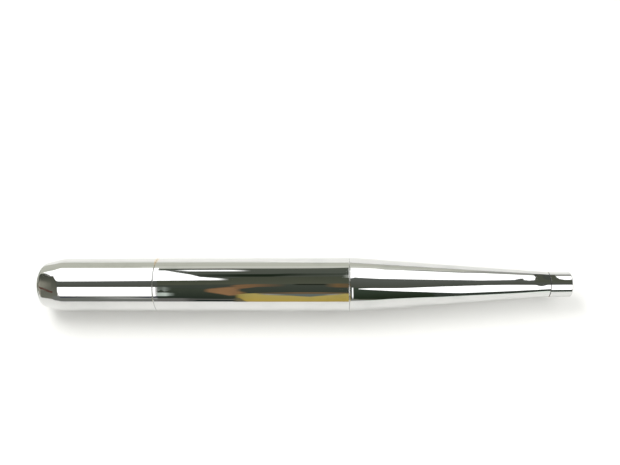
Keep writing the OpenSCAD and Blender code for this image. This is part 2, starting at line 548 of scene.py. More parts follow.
def dome(sizes, depth):
    """The cap's outline from the axis to its straight wall, moved inwards by a depth."""
    crown_angle = math.asin(sizes.crown_r / sizes.swell_r)
    cone_angle = QUARTER - sizes.cone_slope
    swell_x = CAP_START + sizes.swell_r
    inset = sizes.swell_r - sizes.corner_r
    corner = (swell_x - inset * math.cos(crown_angle), inset * math.sin(crown_angle))
    corner_end = arc(corner, sizes.corner_r, crown_angle, cone_angle)[-1]
    shoulder_start = BARREL_R - sizes.shoulder_r * (1 - math.sin(cone_angle))
    run = (shoulder_start - corner_end[1]) / math.cos(cone_angle)
    shoulder_x = corner_end[0] + run * math.sin(cone_angle) + sizes.shoulder_r * math.cos(cone_angle)
    return (
        arc((swell_x, 0), sizes.swell_r - depth, 0, crown_angle)
        + arc(corner, sizes.corner_r - depth, crown_angle, cone_angle, first=1)
        + arc((shoulder_x, BARREL_R - sizes.shoulder_r), sizes.shoulder_r - depth, cone_angle, QUARTER)
    )


def taper_line(sizes, depth, end):
    """The taper's outline from its collar's end to a place on the axis, moved inwards by a depth."""
    slope = math.atan((BARREL_R - TIP_R) / (TAPER_END - TAPER_START - sizes.knee_len))
    knee_start = TAPER_START + sizes.knee_len - sizes.knee_r * math.tan(slope / 2)
    bend = arc((knee_start, BARREL_R - sizes.knee_r), sizes.knee_r - depth, QUARTER, QUARTER + slope)
    radius = TIP_R + (TAPER_END - end) * math.tan(slope) - depth / math.cos(slope)
    return bend + [(end, radius)]


def guarded(points):
    """Adds a point close to each end of every long stretch, so that it shades as straight."""
    result = [points[0]]
    for start, end in zip(points, points[1:]):
        length = math.dist(start[:2], end[:2])
        if length > 8 * GUARD:
            for share in (GUARD / length, 1 - GUARD / length):
                result.append(tuple(a + (b - a) * share for a, b in zip(start, end)))
        result.append(end)
    return result


# Turning an outline into a solid


def turning_tree():
    """Geometry nodes that turn an outline round the wand's axis and give each part of it its metal."""
    name = "Turn an outline"
    if name in bpy.data.node_groups:
        return bpy.data.node_groups[name]
    tree = bpy.data.node_groups.new(name, "GeometryNodeTree")
    for label, kind in (
        ("Outline", "NodeSocketGeometry"),
        ("Sides", "NodeSocketInt"),
        ("Axis Height", "NodeSocketFloat"),
        ("Metal", "NodeSocketMaterial"),
        ("Second Metal", "NodeSocketMaterial"),
        ("Third Metal", "NodeSocketMaterial"),
    ):
        tree.interface.new_socket(name=label, in_out="INPUT", socket_type=kind)
    tree.interface.new_socket(name="Solid", in_out="OUTPUT", socket_type="NodeSocketGeometry")
    given = tree.nodes.new("NodeGroupInput").outputs
    spindle_r = 1 * MM
    curve = add(tree, "GeometryNodeMeshToCurve", {"Mesh": given["Outline"]}).outputs["Curve"]
    moved = add(tree, "GeometryNodeTransform", {"Geometry": curve, "Translation": (-spindle_r, 0, 0)})
    spindle = add(
        tree, "GeometryNodeCurvePrimitiveCircle", {"Resolution": given["Sides"], "Radius": spindle_r}
    )
    sweep = {"Curve": spindle.outputs["Curve"], "Profile Curve": moved.outputs["Geometry"]}
    turned = add(tree, "GeometryNodeCurveToMesh", sweep).outputs["Mesh"]
    closed = add(tree, "GeometryNodeMergeByDistance", {"Geometry": turned, "Distance": MERGE})
    height = add(tree, "ShaderNodeCombineXYZ", {"Z": given["Axis Height"]}).outputs["Vector"]
    lying = {"Geometry": closed.outputs["Geometry"], "Rotation": (0, -QUARTER, 0), "Translation": height}
    laid = add(tree, "GeometryNodeTransform", lying).outputs["Geometry"]
    smooth = add(tree, "GeometryNodeSetShadeSmooth", {"Geometry": laid}).outputs["Geometry"]
    real = add(tree, "GeometryNodeRealizeInstances", {"Geometry": smooth}).outputs["Geometry"]
    mark = add(tree, "GeometryNodeInputNamedAttribute", {"Name": "metal"}, data_type="FLOAT")
    number = mark.outputs["Attribute"]
    plain = {"Geometry": real, "Material": given["Metal"]}
    solid = add(tree, "GeometryNodeSetMaterial", plain).outputs["Geometry"]
    for above, label in ((0.99, "Second Metal"), (1.99, "Third Metal")):
        test = {"A": number, "B": above}
        here = add(tree, "FunctionNodeCompare", test, data_type="FLOAT", operation="GREATER_THAN")
        metal = {"Geometry": solid, "Selection": here.outputs["Result"], "Material": given[label]}
        solid = add(tree, "GeometryNodeSetMaterial", metal).outputs["Geometry"]
    add(tree, "NodeGroupOutput", {"Solid": solid})
    return tree


def checked(mesh, name):
    """Merges a mesh's doubles and turns its faces outwards, and raises an error if it isn't closed."""
    work = bmesh.new()
    work.from_mesh(mesh)
    bmesh.ops.remove_doubles(work, verts=work.verts, dist=MERGE / 2)
    bmesh.ops.recalc_face_normals(work, faces=work.faces)
    if not all(edge.is_manifold for edge in work.edges):
        raise RuntimeError(f"{name} isn't closed")
    if work.calc_volume(signed=True) < 0:
        bmesh.ops.reverse_faces(work, faces=work.faces)
    work.to_mesh(mesh)
    work.free()
    mesh.name = name
    return mesh


def shown(mesh, name):
    """A new object for a mesh, in the scene."""
    piece = bpy.data.objects.new(name, mesh)
    bpy.context.scene.collection.objects.link(piece)
    return piece


def turned_piece(name, runs, metals, closed=True):
    """A solid of revolution. Each run is an outline's next points with the number of their metal."""
    points = [(x, radius, float(metal)) for metal, run in runs for x, radius in run]
    if closed:
        points = guarded(points + points[:1])[:-1]
    else:
        points = guarded(points)
    mesh = bpy.data.meshes.new(name + "_outline")
    links = [(i, i + 1) for i in range(len(points) - 1)]
    if closed:
        links.append((len(points) - 1, 0))
    mesh.from_pydata([(radius, x, 0) for x, radius, metal in points], links, [])
    marks = mesh.attributes.new("metal", "FLOAT", "POINT")
    marks.data.foreach_set("value", [metal for x, radius, metal in points])
    outline = shown(mesh, name + "_outline")
    tree = turning_tree()
    sockets = {s.name: s.identifier for s in tree.interface.items_tree if s.in_out == "INPUT"}
    modifier = outline.modifiers.new("Turn", "NODES")
    modifier.node_group = tree
    modifier[sockets["Sides"]] = bpy.context.scene.wand_sizes.sides
    modifier[sockets["Axis Height"]] = AXIS_Z
    modifier[sockets["Metal"]] = metal_named(metals[0])
    modifier[sockets["Second Metal"]] = metal_named(metals[min(1, len(metals) - 1)])
    modifier[sockets["Third Metal"]] = metal_named(metals[-1])
    evaluated = outline.evaluated_get(bpy.context.evaluated_depsgraph_get())
    solid = bpy.data.meshes.new_from_object(evaluated)
    bpy.data.objects.remove(outline)
    bpy.data.meshes.remove(mesh)
    return shown(checked(solid, name), name)


def fitted(piece, body, node):
    """Puts a piece, which stands in its node's place, on its body and hides that node."""
    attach(piece, body)
    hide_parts(node)


# The wand's pieces


PLATED = ("nickel_chrome_plate", "drawn_brass_bore")


class WAND_OT_cap(bpy.types.Operator):
    """Draws the domed cap, a deep cup with a round corner, a shallow cone and a chamfered mouth"""

    bl_idname = "wand.cap"
    bl_label = "Domed Cap"

    def execute(self, context):
        sizes = context.scene.wand_sizes
        bore_r = BARREL_R - sizes.wall
        outside = dome(sizes, 0) + edge_after(CAP_RIM, BARREL_R, sizes.seam_edge_r)
        outside.append((CAP_RIM, bore_r + sizes.lead))
        bore = [(CAP_RIM - sizes.lead, bore_r)] + dome(sizes, sizes.wall)[::-1]
        cap = turned_piece("domed_cap", [(0, outside), (1, bore)], PLATED, closed=False)
        fitted(cap, "cap", "cap_shell")
        return {"FINISHED"}


class WAND_OT_body_tube(bpy.types.Operator):
    """Cuts the straight body tube and rounds its polished ends"""

    bl_idname = "wand.body_tube"
    bl_label = "Body Tube"

    def execute(self, context):
        sizes = context.scene.wand_sizes
        bore_r = BARREL_R - sizes.wall
        outside = edge_before(TUBE_START, BARREL_R, sizes.seam_edge_r)
        outside += edge_after(TUBE_END, BARREL_R, sizes.seam_edge_r)
        bore = [(TUBE_END, bore_r), (TUBE_START, bore_r)]
        tube = turned_piece("straight_tube", [(0, outside), (1, bore)], PLATED)
        fitted(tube, "wand", "body_tube")
        return {"FINISHED"}


class WAND_OT_taper(bpy.types.Operator):
    """Draws the tapered tube down from its short collar to the seat of the tip"""

    bl_idname = "wand.taper"
    bl_label = "Tapered Tube"

    def execute(self, context):
        sizes = context.scene.wand_sizes
        seat_r = TIP_R - sizes.wall
        seat_start = SHANK_START - sizes.lead
        outside = edge_before(TAPER_START, BARREL_R, sizes.seam_edge_r)
        outside += taper_line(sizes, 0, TAPER_END)
        bore = [(TAPER_END, seat_r), (seat_start, seat_r)]
        bore += taper_line(sizes, sizes.wall, seat_start)[::-1]
        bore.append((TAPER_START, BARREL_R - sizes.wall))
        taper = turned_piece("tapered_tube", [(0, outside), (1, bore)], PLATED)
        fitted(taper, "wand", "taper_tube")
        return {"FINISHED"}


class WAND_OT_tip(bpy.types.Operator):
    """Turns the solid tip with its shank. The part that shows is plated"""

    bl_idname = "wand.tip"
    bl_label = "Tip"

    def execute(self, context):
        sizes = context.scene.wand_sizes
        shank_r = TIP_R - sizes.wall - sizes.fit_gap
        edge_start = TIP_END - sizes.tip_edge_r
        shank = [(SHANK_START, 0), (SHANK_START, shank_r - sizes.lead)]
        shank += [(SHANK_START + sizes.lead, shank_r), (TAPER_END, shank_r)]
        groove_end = TAPER_END + sizes.seam_groove
        groove_r = TIP_R - sizes.seam_depth
        groove = [(TAPER_END, groove_r), (groove_end, groove_r)]
        outside = [(groove_end, TIP_R), (edge_start, TIP_R)]
        outside += edge_after(TIP_END, TIP_R, sizes.tip_edge_r)[1:] + [(TIP_END, 0)]
        # The groove takes the third material, a nearly black matt filling that paints the seam's shade
        metals = ("nickel_chrome_plate", "turned_brass", "painted_seam_shade")
        runs = [(1, shank), (2, groove), (0, outside)]
        tip = turned_piece("turned_tip", runs, metals, closed=False)
        fitted(tip, "wand", "tip_plug")
        return {"FINISHED"}


class WAND_OT_neck(bpy.types.Operator):
    """Turns the neck bush with the ring's groove, and runs a fillet of solder round its foot"""

    bl_idname = "wand.neck"
    bl_label = "Neck Bush"

    def execute(self, context):
        sizes = context.scene.wand_sizes
        outer_r = BARREL_R - sizes.wall - sizes.fit_gap
        bore_r = sizes.neck_bore_r
        lead = sizes.lead
        groove_start = RING_START - sizes.fit_gap
        groove_end = RING_END + sizes.fit_gap
        wire_d = RING_END - RING_START
        groove_r = RING_R - wire_d - sizes.fit_gap
        foot = TUBE_START - sizes.fit_gap * 0.1
        front = [(NECK_START, bore_r + lead), (NECK_START, outer_r - lead), (NECK_START + lead, outer_r)]
        groove = [(groove_start, outer_r), (groove_start, groove_r)]
        groove += [(groove_end, groove_r), (groove_end, outer_r)]
        hollow = (foot - sizes.fillet, outer_r + sizes.fillet)
        solder = arc(hollow, sizes.fillet, 3 * QUARTER, 2 * QUARTER) + [(foot, outer_r)]
        back = [(NECK_END - lead, outer_r), (NECK_END, outer_r - lead), (NECK_END, bore_r)]
        back.append((NECK_START + lead, bore_r))
        runs = [(0, front + groove), (1, solder), (0, back)]
        bush = turned_piece("neck_bush_turned", runs, ("turned_brass", "soft_solder"))
        fitted(bush, "wand", "neck_bush")
        return {"FINISHED"}


# Steps along the ring's wire, along the rounding of each of its ends, and round the wire
WIRE_STEPS, END_STEPS, WIRE_SIDES = 240, 6, 20


class WAND_OT_ring(bpy.types.Operator):
    """Bends the split ring of spring wire that grips the cap"""

    bl_idname = "wand.ring"
    bl_label = "Friction Ring"

    def execute(self, context):
        wire_r = (RING_END - RING_START) / 2
        track_r = RING_R - wire_r
        middle = (RING_START + RING_END) / 2
        end_round = 0.5 * wire_r
        split = context.scene.wand_sizes.ring_split
        first = context.scene.wand_sizes.split_at + split / 2
        full = 2 * math.pi - split
        # Each section of the wire is an angle round the axis and the wire's radius there.
        sections = []
        for i in range(END_STEPS + 1):
            turn = QUARTER * i / END_STEPS
            from_end = end_round * (1 - math.cos(turn))
            sections.append((from_end / track_r, wire_r - end_round * (1 - math.sin(turn))))
        last = [(full - angle, radius) for angle, radius in sections[::-1]]
        sections += [(full * i / WIRE_STEPS, wire_r) for i in range(1, WIRE_STEPS)] + last
        work = bmesh.new()
        loops = []
        for angle, radius in sections:
            angle += first
            loop = []
            for i in range(WIRE_SIDES):
                around = 2 * math.pi * i / WIRE_SIDES
                reach = track_r + radius * math.cos(around)
                x = middle + radius * math.sin(around)
                loop.append(
                    work.verts.new((x, reach * math.sin(angle), AXIS_Z - reach * math.cos(angle)))
                )
            loops.append(loop)
        for before, after in zip(loops, loops[1:]):
            for i in range(WIRE_SIDES):
                j = (i + 1) % WIRE_SIDES
                work.faces.new((before[i], before[j], after[j], after[i]))
        work.faces.new(loops[0])
        work.faces.new(loops[-1])
        for face in work.faces:
            face.smooth = len(face.verts) == 4
        mesh = bpy.data.meshes.new("ring_wire")
        work.to_mesh(mesh)
        work.free()
        mesh.materials.append(metal_named("phosphor_bronze_wire"))
        ring = shown(checked(mesh, "spring_ring"), "spring_ring")
        fitted(ring, "ring", "friction_ring")
        return {"FINISHED"}


class WAND_OT_chamber_floor(bpy.types.Operator):
    """Presses the disc that closes the load chamber, with a round bend and a shallow pan"""

    bl_idname = "wand.chamber_floor"
    bl_label = "Chamber Floor"

    def execute(self, context):
        sizes = context.scene.wand_sizes
        outer_r = BARREL_R - sizes.wall - sizes.fit_gap
        wall, bend, pan_r, pan = sizes.wall, 1.2 * MM, 7 * MM, 0.5 * MM
        lip_round, lip_cut = 0.15 * MM, 0.1 * MM
        inner_bend = bend - wall
        back = [(FLOOR_END - pan, 0), (FLOOR_END - pan, pan_r - pan), (FLOOR_END, pan_r + pan)]
        back += edge_after(FLOOR_END, outer_r, bend)[::-1]
        lip = edge_before(FLOOR_START, outer_r, lip_round)[::-1]
        lip.append((FLOOR_START, outer_r - wall + lip_cut))
        lip.append((FLOOR_START + lip_cut, outer_r - wall))
        corner = (FLOOR_END - bend, outer_r - bend)
        inside = arc(corner, inner_bend, QUARTER, 2 * QUARTER)
        front_x = FLOOR_END - wall
        inside += [(front_x, pan_r + pan), (front_x - pan, pan_r - pan), (front_x - pan, 0)]
        disc = turned_piece("pressed_disc", [(0, back + lip + inside)], ("turned_brass",), closed=False)
        fitted(disc, "wand", "chamber_floor")
        return {"FINISHED"}


class WAND_OT_joint_bush(bpy.types.Operator):
    """Turns the bush that joins the body tube to the taper, with a nose that follows the taper's bore"""

    bl_idname = "wand.joint_bush"
    bl_label = "Joint Bush"

    def execute(self, context):
        sizes = context.scene.wand_sizes
        outer_r = BARREL_R - sizes.wall - sizes.fit_gap
        outline = [(BUSH_START, sizes.bush_bore_r), (BUSH_START, outer_r - sizes.lead)]
        outline.append((BUSH_START + sizes.lead, outer_r))
        outline += taper_line(sizes, sizes.wall + sizes.fit_gap, BUSH_END)
        outline.append((BUSH_END, sizes.bush_bore_r))
        bush = turned_piece("joint_bush_turned", [(0, outline)], ("turned_brass",))
        fitted(bush, "wand", "joint_bush")
        return {"FINISHED"}


# The light tent. Its cards are seen only in reflections. A card stands on a drum round the wand's axis.
# Each row of its outline is a place along the wand in millimetres, and a lower and an upper angle in
# degrees: 0 is at the camera's elevation, and the angle grows upwards and back. A row's fourth number
# is how much of the card is there, where it fades out along the wand.


# The share of light that the plating sends back, which a card's glow makes up for
PLATE_SHARE = 0.64

WHITE = "#FFFFFF"

# Each card: its colours at the lower and the upper edge, its layer (a higher one hides a lower one), the
# angle over which its two edges fade, and its outline
CARDS = {
    "backdrop": (
        "#B0B2A5", "#B4B5AB", 0, 0,
        ((-1700, 58, 119), (-170, 58, 117), (-150, 58, 113), (30, 58, 112), (45, 58, 108),
         (420, 58, 108)),
    ),
    "backdrop_foot": (
        "#BEBFB6", "#BEBFB6", 0.5, 0,
        ((-168, 76, 90), (60, 76, 91), (150, 76, 93), (165, 76, 90)),
    ),
    "backdrop_line": (
        "#8C8E88", "#8C8E88", 1, 0,
        ((118, 79, 81), (131, 79, 86), (152, 79, 87), (172, 80, 88)),
    ),
    "backdrop_end": (
        "#90928C", "#90928C", 1, 0,
        ((172, 80, 92), (185, 80, 103), (205, 80, 110), (300, 80, 110)),
    ),
    "front": ("#D7D7D6", "#D7D7D6", 0, 0, ((-1700, -74, -40), (80, -74, -40))),
    "front_end": ("#E0E7DF", "#E0E7DF", 0, 0, ((80, -74, -40), (420, -74, -40))),
    "opening": (
        "#6B6C62", "#3E4038", 1, 0,
        ((-8000, -125, 125), (-900, -122, 119), (-735, -119, 96), (-560, -90, 83), (-500, -82, 78),
         (-456, -76, 72.5), (-440, -74, 72), (-378, -69.5, 60), (-290, -68, 30)),
    ),
    "opening_glow": (
        "#9A988C", "#8A887C", 1.2, 30,
        ((-8000, -95, 50, 0.9), (-530, -95, 50, 0.9), (-506, -95, 50, 0.6), (-496, -90, 40, 0.2),
         (-488, -90, 40, 0)),
    ),
    "opening_line": (
        "#52342E", "#52342E", 1.5, 1,
        ((-3000, -19, -6, 0.7), (-545, -20, -8), (-505, -20.5, -10), (-500, -21.5, -16),
         (-492, -27, -21), (-488, -30, -23.5), (-483, -33.5, -28), (-478, -35.5, -28.5),
         (-471, -38.5, -28.5), (-446, -37, -28), (-436, -36, -28, 0.4), (-425, -35, -28, 0)),
    ),
    "top_left": (
        WHITE, WHITE, 2, 0,
        ((-467, 51.5, 52.5), (-460, 51.5, 61), (-452, 50, 69), (-448, 50, 74.5), (-440, 49.5, 80),
         (-425, 49, 83), (-404, 46, 82), (-387, 37.5, 81), (-360, 31, 80.5), (-321, 22, 80.5),
         (-285, 21, 81), (-275, 15, 81.3), (-151, 15, 81)),
    ),
    "low_left": (
        WHITE, WHITE, 2, 0,
        ((-290, -14, -10), (-286, -26, -5), (-268, -38, 0), (-250, -43.5, 0), (-240, -44.5, 0),
         (-153, -45, 0)),
    ),
    "hem": (
        "#696B67", "#696B67", 1, 0,
        ((-420, -74, -50), (-285, -69, -45), (-240, -70.5, -43), (-151, -71, -43)),
    ),
    "hem_dark_start": (
        "#3C3E46", "#3C3E46", 1.5, 1,
        ((-245, -53, -44), (-238, -53, -44, 0.9), (-222, -53, -44, 0.35), (-210, -53, -44, 0)),
    ),
    "hem_dark_end": (
        "#3C3E46", "#3C3E46", 1.5, 1,
        ((-178, -53, -44, 0), (-168, -53, -44, 0.5), (-160, -53, -44), (-151, -53, -44)),
    ),
    "hem_pale": (
        "#8E8F8C", "#8E8F8C", 1.6, 1,
        ((-212, -59, -46, 0), (-196, -59, -46, 0.6), (-182, -59, -50), (-160, -59, -53),
         (-151, -59, -53)),
    ),
    "top_right": (
        WHITE, WHITE, 2, 0,
        ((28, 20, 79), (77, 20, 80), (90, 20, 81), (100, 20, 77), (120, 20, 79), (172, 20, 80),
         (190, 20, 85), (230, 20, 87), (260, 20, 88)),
    ),
    "low_right_dark": (
        "#182212", "#3C463C", 1, 0,
        ((28, -66, 0), (75, -66.5, 0), (86, -69, 0), (105, -66.5, 0), (134, -66.5, 0), (150, -68, 0)),
    ),
    "low_right_end": (
        "#343A34", "#343A34", 1, 0,
        ((150, -68, 0), (220, -67, 0), (235, -65, 0), (255, -60, 0), (340, -60, 0)),
    ),
    "low_right_foot": (
        "#6E7166", "#6E7166", 1.5, 2,
        ((28, -68, -57), (70, -68, -58), (92, -70, -62, 0.5), (104, -70, -64, 0)),
    ),
    "low_right": (
        WHITE, WHITE, 2, 0,
        ((83, -14, -13), (91, -17, -12), (95, -18.5, -11.5), (105, -21.5, -11), (114, -25, 0),
         (122, -27.5, 0), (140, -33, 0), (158, -40, 0), (176, -47.5, 0), (195, -47.5, 0),
         (216, -46.5, 0), (232, -45, 0), (252, -42, 0), (268, -38.5, 0), (340, -38, 0)),
    ),
    "sliver": (
        WHITE, WHITE, 2, 14,
        ((33, -60, 2, 0), (37, -60, 2, 0.9), (40, -60, 2, 0.9), (46, -60, 2, 0)),
    ),
    "slit": (
        "#454840", "#575A56", 3, 0,
        ((-300, -6, 20), (-240, -5.2, 19), (-205, -5.2, 19.5), (-151, -5.3, 21.5), (28, -8, 31),
         (60, -8, 35), (85, -10, 33.5), (104, -12, 31), (125, -12.7, 31), (143, -10.2, 31),
         (162, -7.2, 31), (181, -4.3, 31.8), (200, -1.7, 32), (219, 1.5, 36), (228, 3.5, 39),
         (232, 3, 41), (235, 2.7, 53), (238, 2.5, 54), (241, 2, 41), (247, 1, 38), (252, 0, 45),
         (256, -1, 45), (259, -10, 45), (263, -10, 45), (267, 0, 45), (340, 3, 45)),
    ),
    "stand": (
        "#222A22", "#50544C", 4, 0,
        ((-151, -71, 77), (-80, -71, 77.5), (-20, -71, 77.5), (8, -71, 78.5), (28, -71, 81)),
    ),
    "stand_shade": (
        "#1C241A", "#1C241A", 5, 2,
        ((-116, 37, 50, 0.3), (-100, 37, 50, 0.7), (-75, 37, 50.5), (-45, 37, 50.5),
         (-28, 41, 53, 0.8), (-10, 42, 53, 0.5), (28, 43, 54, 0.2)),
    ),
    "stand_face": (
        "#4B4E42", "#42463A", 5, 2,
        ((-151, 1, 24), (-100, 4, 26), (-70, 5, 38), (28, 6, 40)),
    ),
    "stand_low": (
        "#16201A", "#3A4036", 5, 2,
        ((-151, -71, -8), (-110, -71, -12), (-95, -71, -18), (-82, -71, -38, 0.8), (-74, -71, -50, 0)),
    ),
    "stand_foot": (
        "#636360", "#636360", 6, 0,
        ((-151, -71, -54), (-128, -71, -54), (-120, -71, -54.5, 0.5), (-114, -63, -56, 0.6),
         (-92, -63, -58, 0.8), (-80, -63, -58, 0.8), (-74, -63, -58, 0)),
    ),
    "stand_line": (
        "#20241C", "#20241C", 6, 0,
        ((-26, 3, 7.5, 0), (-20, 3, 7.5), (3, 3, 7.5), (9, 3, 7.5, 0)),
    ),
    "stand_edge": ("#A0A29C", "#A0A29C", 6, 0, ((21, 33, 46, 0), (25, 33, 46, 0.6), (28, 33, 46, 0.6))),
    "wedge": (
        WHITE, WHITE, 6, 0,
        ((-151.5, 22, 67.3), (-144, 22, 67.3), (-139, 22.2, 63.2), (-134, 22.5, 58.5),
         (-130, 22.6, 55.3), (-120, 22.7, 47.5), (-111, 23.4, 37), (-101, 23.4, 34),
         (-94, 23.4, 32, 0.8), (-88, 23.4, 30, 0.2), (-84, 23.4, 29, 0)),
    ),
    "crack": (
        WHITE, WHITE, 6, 0,
        ((-136, 66, 68, 0), (-130, 65.5, 69.5, 0.5), (-122, 63.5, 69.6), (-84, 63.5, 69.6),
         (-76, 63, 69.4, 0.6), (-68, 62.5, 69, 0.1), (-64, 62.5, 69, 0)),
    ),
    "mark_high": (
        "#767C76", "#767C76", 6, 3,
        ((-151, -26, -3, 0.7), (-147, -18, -3, 0.5), (-144, -26, -3), (-140, -22, -5, 0.3),
         (-137, -16, -6, 0)),
    ),
    "mark_low": (
        "#B0BAB3", "#B8C2BA", 6, 1.5,
        ((-151, -45, -28, 0.8), (-143, -45, -28), (-139, -44, -29, 0.4), (-134, -44, -30, 0)),
    ),
    "orange": (
        "#886749", "#886749", 6, 5,
        ((-108, -27, -13, 0), (-102, -30, -10, 0.8), (-92, -37, -6), (-84, -44, -3),
         (-78, -43, -3, 0.8), (-72, -36, -6, 0)),
    ),
    "orange_low": (
        "#826440", "#826440", 6, 2,
        ((-80, -40, -23, 0), (-75, -39, -23), (-66, -34, -26, 0)),
    ),
    "brown": (
        "#74593F", "#74593F", 6, 2,
        ((-84, -9, 4, 0), (-76, -14, 5), (-68, -11, 7), (-58, -6, 8, 0.8), (-45, -5, 8, 0.4),
         (-30, -4, 7, 0)),
    ),
    "brown_end": ("#6A553A", "#6A553A", 6, 2, ((4, -5, 9, 0), (16, -8, 10), (28, -9, 9, 0.6))),
    "gold": (
        "#A99245", "#A3965A", 7, 1.5,
        ((-79, -51, -37, 0), (-74, -54, -35, 0.75), (-68, -73, -32, 0.9), (-60, -73, -31),
         (-46, -73, -34), (-37, -73, -37), (-27, -73, -38), (-18, -73, -42), (-9, -73, -45),
         (0, -73, -38), (9, -73, -34.5), (19, -73, -32), (28, -73, -32)),
    ),
    "gold_dim": ("#5F5941", "#5F5941", 6.5, 1, ((-81, -73, -53, 0), (-76, -73, -52), (-66, -73, -52))),
    "lens": (
        "#5E6561", "#5E6561", 8, 1.5,
        ((-60, -37, -32, 0), (-48, -40, -33, 0.8), (-37, -42, -33.5), (-27, -43, -33.5),
         (-18, -46, -33.5), (-9, -48, -33.5), (0, -44, -33.5), (9, -41, -33.5), (17, -38, -33, 0.6),
         (23, -36, -33, 0)),
    ),
    "lens_ends": (
        "#9A978D", "#9A978D", 8.5, 1.5,
        ((-56, -38, -32, 0), (-48, -40, -33.5, 0.7), (-38, -41, -35, 0.5), (-30, -42, -36, 0),
         (2, -42, -36, 0), (9, -41, -35, 0.6), (15, -40, -34, 0.6), (21, -38, -33, 0)),
    ),
    "lens_top": (
        "#6D5941", "#6D5941", 7.5, 1,
        ((-64, -34, -28, 0), (-50, -34, -28, 0.5), (-22, -34, -27), (0, -34, -27),
         (14, -34, -28, 0.8), (26, -34, -28, 0.6)),
    ),
    "tip_card": (
        "#42443E", "#484C48", 4, 0,
        ((234, 101, 110), (240, 86, 110), (246, 70, 110), (251, 45, 110), (256, 30, 110),
         (340, 30, 110)),
    ),
}

# A small card close to the tip, which only the tip's seam reflects
NEAR_CARD = (
    "#4B4E44", "#4B4E44", 4, 0,
    ((131.7, 20, 100), (134.8, 20, 100), (135.4, 20, 72), (136.6, 20, 54), (139, 20, 47), (142, 20, 46),
     (143.2, 20, 50), (144.2, 20, 62)),
)
NEAR_CARD_R = 60 * MM

# Cards that lie on the floor: colour, how much of the card is there, and its corners (along the wand,
# behind it) in millimetres
FLAT_CARDS = {
    "sweep": (
        "#B4B5AB", 1,
        ((-155, 45), (-168, 105), (-172, 158), (-60, 170), (-10, 260), (60, 700), (450, 900),
         (450, 1500), (-1700, 1500), (-1700, 45)),
    ),
    # A faint grey sheet on the floor just behind the wand, seen only in reflections: painted shadow
    "painted_shadow_behind_wand": ("#B4B5AB", 0.3, ((-163, 65), (-30, 75), (-12, 258), (-60, 170), (-172, 158))),
    "bare_table": ("#6E7064", 1, ((-1700, -30), (-168, -30), (-155, 45), (-1700, 45))),
}

FLAT_CARD_LIFT = 0.2 * MM

# The most that a card turns round the axis from one of its points to the next, in degrees, and the
# fewest steps from its lower edge to its upper one
CARD_STEP = 2.5
CARD_STEPS = 24

# The layer that stands on the drum itself, and how far apart the layers are
DRUM_LAYER = 4
LAYER_GAP = 0.5 * MM


def card_material(title, low, high, settings):
    """A glowing card. The white cloth glows past white and the others show their own colours."""
    material = bpy.data.materials.new(title)
    material.use_nodes = True
    tree = material.node_tree
    tree.nodes.clear()
    share = add(tree, "ShaderNodeAttribute", attribute_name="share").outputs["Fac"]
    shades = {MIX_BY: share, MIX_A: linear(low), MIX_B: linear(high)}
    colour = add(tree, "ShaderNodeMix", shades, data_type="RGBA")
    strength = settings.cloth_glow if low == WHITE else 1 / PLATE_SHARE
    glow = add(tree, "ShaderNodeEmission", {"Color": colour, "Strength": strength})
    cover = add(tree, "ShaderNodeAttribute", attribute_name="cover").outputs["Fac"]
    clear = add(tree, "ShaderNodeBsdfTransparent")
    there = add(tree, "ShaderNodeMixShader", {0: cover, 1: clear, 2: glow})
    add(tree, "ShaderNodeOutputMaterial", {"Surface": there})
    return material


def card(name, low_colour, high_colour, soft, outline, radius, settings):
    """One card on a drum of that radius round the wand's axis. It bends with the drum everywhere."""
    rows = [(*row, 1)[:4] for row in outline]
    fine = [rows[0]]
    for start, end in zip(rows, rows[1:]):
        pieces = math.ceil(max(abs(end[1] - start[1]), abs(end[2] - start[2]), CARD_STEP) / CARD_STEP)
        for i in range(1, pieces + 1):
            fine.append([a + (b - a) * i / pieces for a, b in zip(start, end)])
    widest = max(high - low for x, low, high, there in rows)
    steps = max(CARD_STEPS, math.ceil(widest / CARD_STEP))
    work = bmesh.new()
    columns, shares, covers = [], [], []
    for x, low, high, there in fine:
        column = []
        for i in range(steps + 1):
            share = i / steps
            turn = settings.elevation + math.radians(low + (high - low) * share)
            place = (x * MM, -radius * math.cos(turn), AXIS_Z + radius * math.sin(turn))
            column.append(work.verts.new(place))
            from_edge = (high - low) * min(share, 1 - share)
            shares.append(share)
            covers.append(there * (min(1, from_edge / soft) if soft else 1))
        columns.append(column)
    for before, after in zip(columns, columns[1:]):
        for i in range(steps):
            work.faces.new((before[i], after[i], after[i + 1], before[i + 1]))
    mesh = bpy.data.meshes.new("card_" + name)
    work.to_mesh(mesh)
    work.free()
    hang_card(mesh, shares, covers, card_material(mesh.name, low_colour, high_colour, settings))


def hang_card(mesh, shares, covers, material):
    """Hangs a card in the tent, where only glossy rays see it."""
    for title, values in (("share", shares), ("cover", covers)):
        mesh.attributes.new(title, "FLOAT", "POINT").data.foreach_set("value", values)
    mesh.materials.append(material)
    shape = shown(mesh, mesh.name)
    shape.visible_camera = False
    shape.visible_diffuse = False
    shape.visible_shadow = False
    shape.visible_transmission = False
    shape.visible_volume_scatter = False


def lay_flat_cards(settings):
    """The floor's shaded far part, where it curves up into the tent, a painted shadow on the floor just
    behind the wand, and the bare table at its end.
    """
    for name, (colour, cover, outline) in FLAT_CARDS.items():
        mesh = bpy.data.meshes.new("card_" + name)
        count = len(outline)
        height = TUBE_LOW[2] + FLAT_CARD_LIFT
        mesh.from_pydata([(x * MM, y * MM, height) for x, y in outline], [], [range(count)])
        material = card_material(mesh.name, colour, colour, settings)
        hang_card(mesh, [1] * count, [cover] * count, material)


